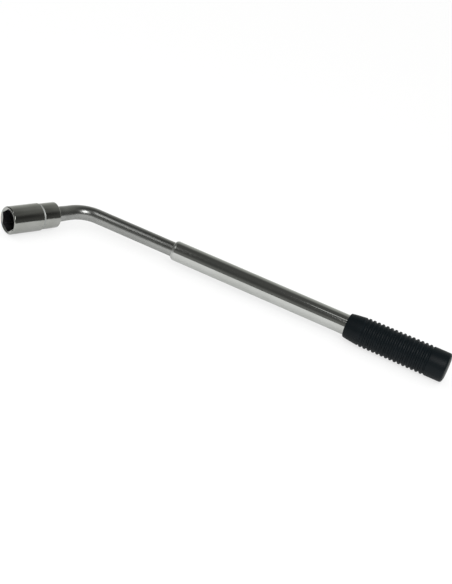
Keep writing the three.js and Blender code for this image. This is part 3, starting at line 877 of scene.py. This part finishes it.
# The surround, as (height, brightness) pairs; the height is 0 at the horizon and 1 overhead.
SURROUND_FRONT = (
    (0.0, 0.14), (0.1, 0.2), (0.25, 0.2), (0.4, 0.165),
    (0.57, 0.09), (0.72, 0.065), (0.87, 0.085), (1.0, 0.105),
)
SURROUND_RIGHT = (
    (0.0, 0.11), (0.22, 0.1), (0.38, 0.085), (0.53, 0.05),
    (0.66, 0.05), (0.76, 0.12), (0.86, 0.2), (1.0, 0.12),
)
SURROUND_BACK_LEFT = (
    (0.0, 0.7), (0.28, 0.62), (0.56, 0.46), (0.68, 0.38), (0.8, 0.26), (0.9, 0.13), (1.0, 0.11),
)
SURROUND_BACK_RIGHT = (
    (0.0, 0.7), (0.28, 0.62), (0.56, 0.5), (0.7, 0.46),
    (0.8, 0.42), (0.87, 0.36), (0.93, 0.2), (1.0, 0.11),
)
SURROUND_TINT = (0.99, 1.0, 0.95)
SURROUND_STRENGTH = 1.08
BACKDROP_SEEN = (0.9, 0.9, 0.9)


def floor():
    bm = bmesh.new()
    bmesh.ops.create_grid(bm, x_segments=1, y_segments=1, size=FLOOR_HALF_M)
    made = to_object("floor", bm, Matrix.Identity(4))
    s = Shader("pale_floor")
    seen = s.add("ShaderNodeLightPath").outputs["Is Camera Ray"]
    made.data.materials.append(s.finish(
        Base_Color=s.blend(seen, (FLOOR_PALE_MIRRORED,) * 3, (FLOOR_PALE_SEEN,) * 3),
        Roughness=0.9,
        Specular_IOR_Level=0.1,
        Emission_Color=(1, 1, 1, 1),
        Emission_Strength=s.spread(seen, 0.0, 1.0, FLOOR_GLOW_MIRRORED, FLOOR_GLOW_SEEN),
    ))


def world():
    """A dim studio round the object: dark in front and overhead, bright low down behind.

    The camera itself sees a plain pale backdrop instead.
    """
    made = bpy.data.worlds.new("studio")
    made.use_nodes = True
    bpy.context.scene.world = made
    tree = made.node_tree
    background = tree.nodes["Background"]
    background.inputs["Strength"].default_value = SURROUND_STRENGTH
    direction = tree.nodes.new("ShaderNodeTexCoord").outputs["Generated"]
    parts = tree.nodes.new("ShaderNodeSeparateXYZ")
    tree.links.new(direction, parts.inputs[0])

    def ramp(stops):
        node = tree.nodes.new("ShaderNodeValToRGB")
        tree.links.new(parts.outputs["Z"], node.inputs["Fac"])
        elements = node.color_ramp.elements
        while len(elements) < len(stops):
            elements.new(0.5)
        for element, (at, level) in zip(elements, stops):
            element.position = at
            element.color = (*(level * tint for tint in SURROUND_TINT), 1)
        return node.outputs["Color"]

    def merge(axis, low, high, first, second):
        """Passes from the first colour to the second along an axis of the direction."""
        share = tree.nodes.new("ShaderNodeMapRange")
        share.interpolation_type = "SMOOTHSTEP"
        tree.links.new(parts.outputs[axis], share.inputs["Value"])
        share.inputs["From Min"].default_value = low
        share.inputs["From Max"].default_value = high
        return mix(tree, share.outputs["Result"], first, second)

    front = merge("X", 0.2, 0.65, ramp(SURROUND_FRONT), ramp(SURROUND_RIGHT))
    back = merge("X", -0.25, 0.1, ramp(SURROUND_BACK_LEFT), ramp(SURROUND_BACK_RIGHT))
    surround = merge("Y", 0.15, 0.75, front, back)
    seen = tree.nodes.new("ShaderNodeLightPath").outputs["Is Camera Ray"]
    tree.links.new(mix(tree, seen, surround, BACKDROP_SEEN), background.inputs["Color"])


def sun(name, strength, azimuth, elevation):
    """A very soft distant light that lights the floor and the matt parts, and isn't mirrored."""
    light = bpy.data.lights.new(name, "SUN")
    light.energy = strength
    light.angle = math.radians(140)
    made = bpy.data.objects.new(name, light)
    a, e = math.radians(azimuth), math.radians(elevation)
    towards = Vector((math.sin(a) * math.cos(e), -math.cos(a) * math.cos(e), math.sin(e)))
    made.rotation_euler = towards.to_track_quat("Z", "Y").to_euler()
    made.visible_glossy = False
    bpy.context.scene.collection.objects.link(made)


def panel(name, at, towards, wide, high, radiance, shape="RECTANGLE"):
    """A soft panel, placed in millimetres from the corner, of the given radiance."""
    light = bpy.data.lights.new(name, "AREA")
    light.shape = shape
    light.size, light.size_y = wide * MM, high * MM
    light.energy = radiance * math.pi * wide * high * MM * MM
    made = bpy.data.objects.new(name, light)
    made.location = ON_HANDLE @ Vector(at)
    made.rotation_euler = (Vector(at) - Vector(towards)).to_track_quat("Z", "Y").to_euler()
    made.visible_camera = False
    bpy.context.scene.collection.objects.link(made)


def camera():
    """The photo's point of view: its place is in millimetres from the corner."""
    place = Vector((424.529, -943.415, 519.129))
    forward = Vector((-0.238814, 0.84344, -0.481224))
    roll = math.radians(15.943)
    lens = bpy.data.cameras.new("camera")
    lens.sensor_width = 36.0
    lens.lens = 73.97
    made = bpy.data.objects.new("camera", lens)
    made.location = ON_HANDLE @ place
    level = (-forward).to_track_quat("Z", "Y").to_matrix()
    made.rotation_euler = (level @ Matrix.Rotation(roll, 3, "Z")).to_euler()
    bpy.context.scene.collection.objects.link(made)
    bpy.context.scene.camera = made


floor()
world()
sun("sky_left", 1.2, azimuth=-70, elevation=66)
sun("sky_right", 1.2, azimuth=60, elevation=66)
sun("sky_back", 1.0, azimuth=180, elevation=68)
panel("key", (486, -545, 700), (60, 0, 0), 520, 520, 4.6, "ELLIPSE")
panel("strip_bar", (-213, -280, 530), (-213, 0, 0), 180, 300, 1.6)
panel("strip_tube", (202, -165, 577), (202, 0, 0), 95, 70, 0.8)
camera()
bpy.context.scene.view_settings.view_transform = "Standard"
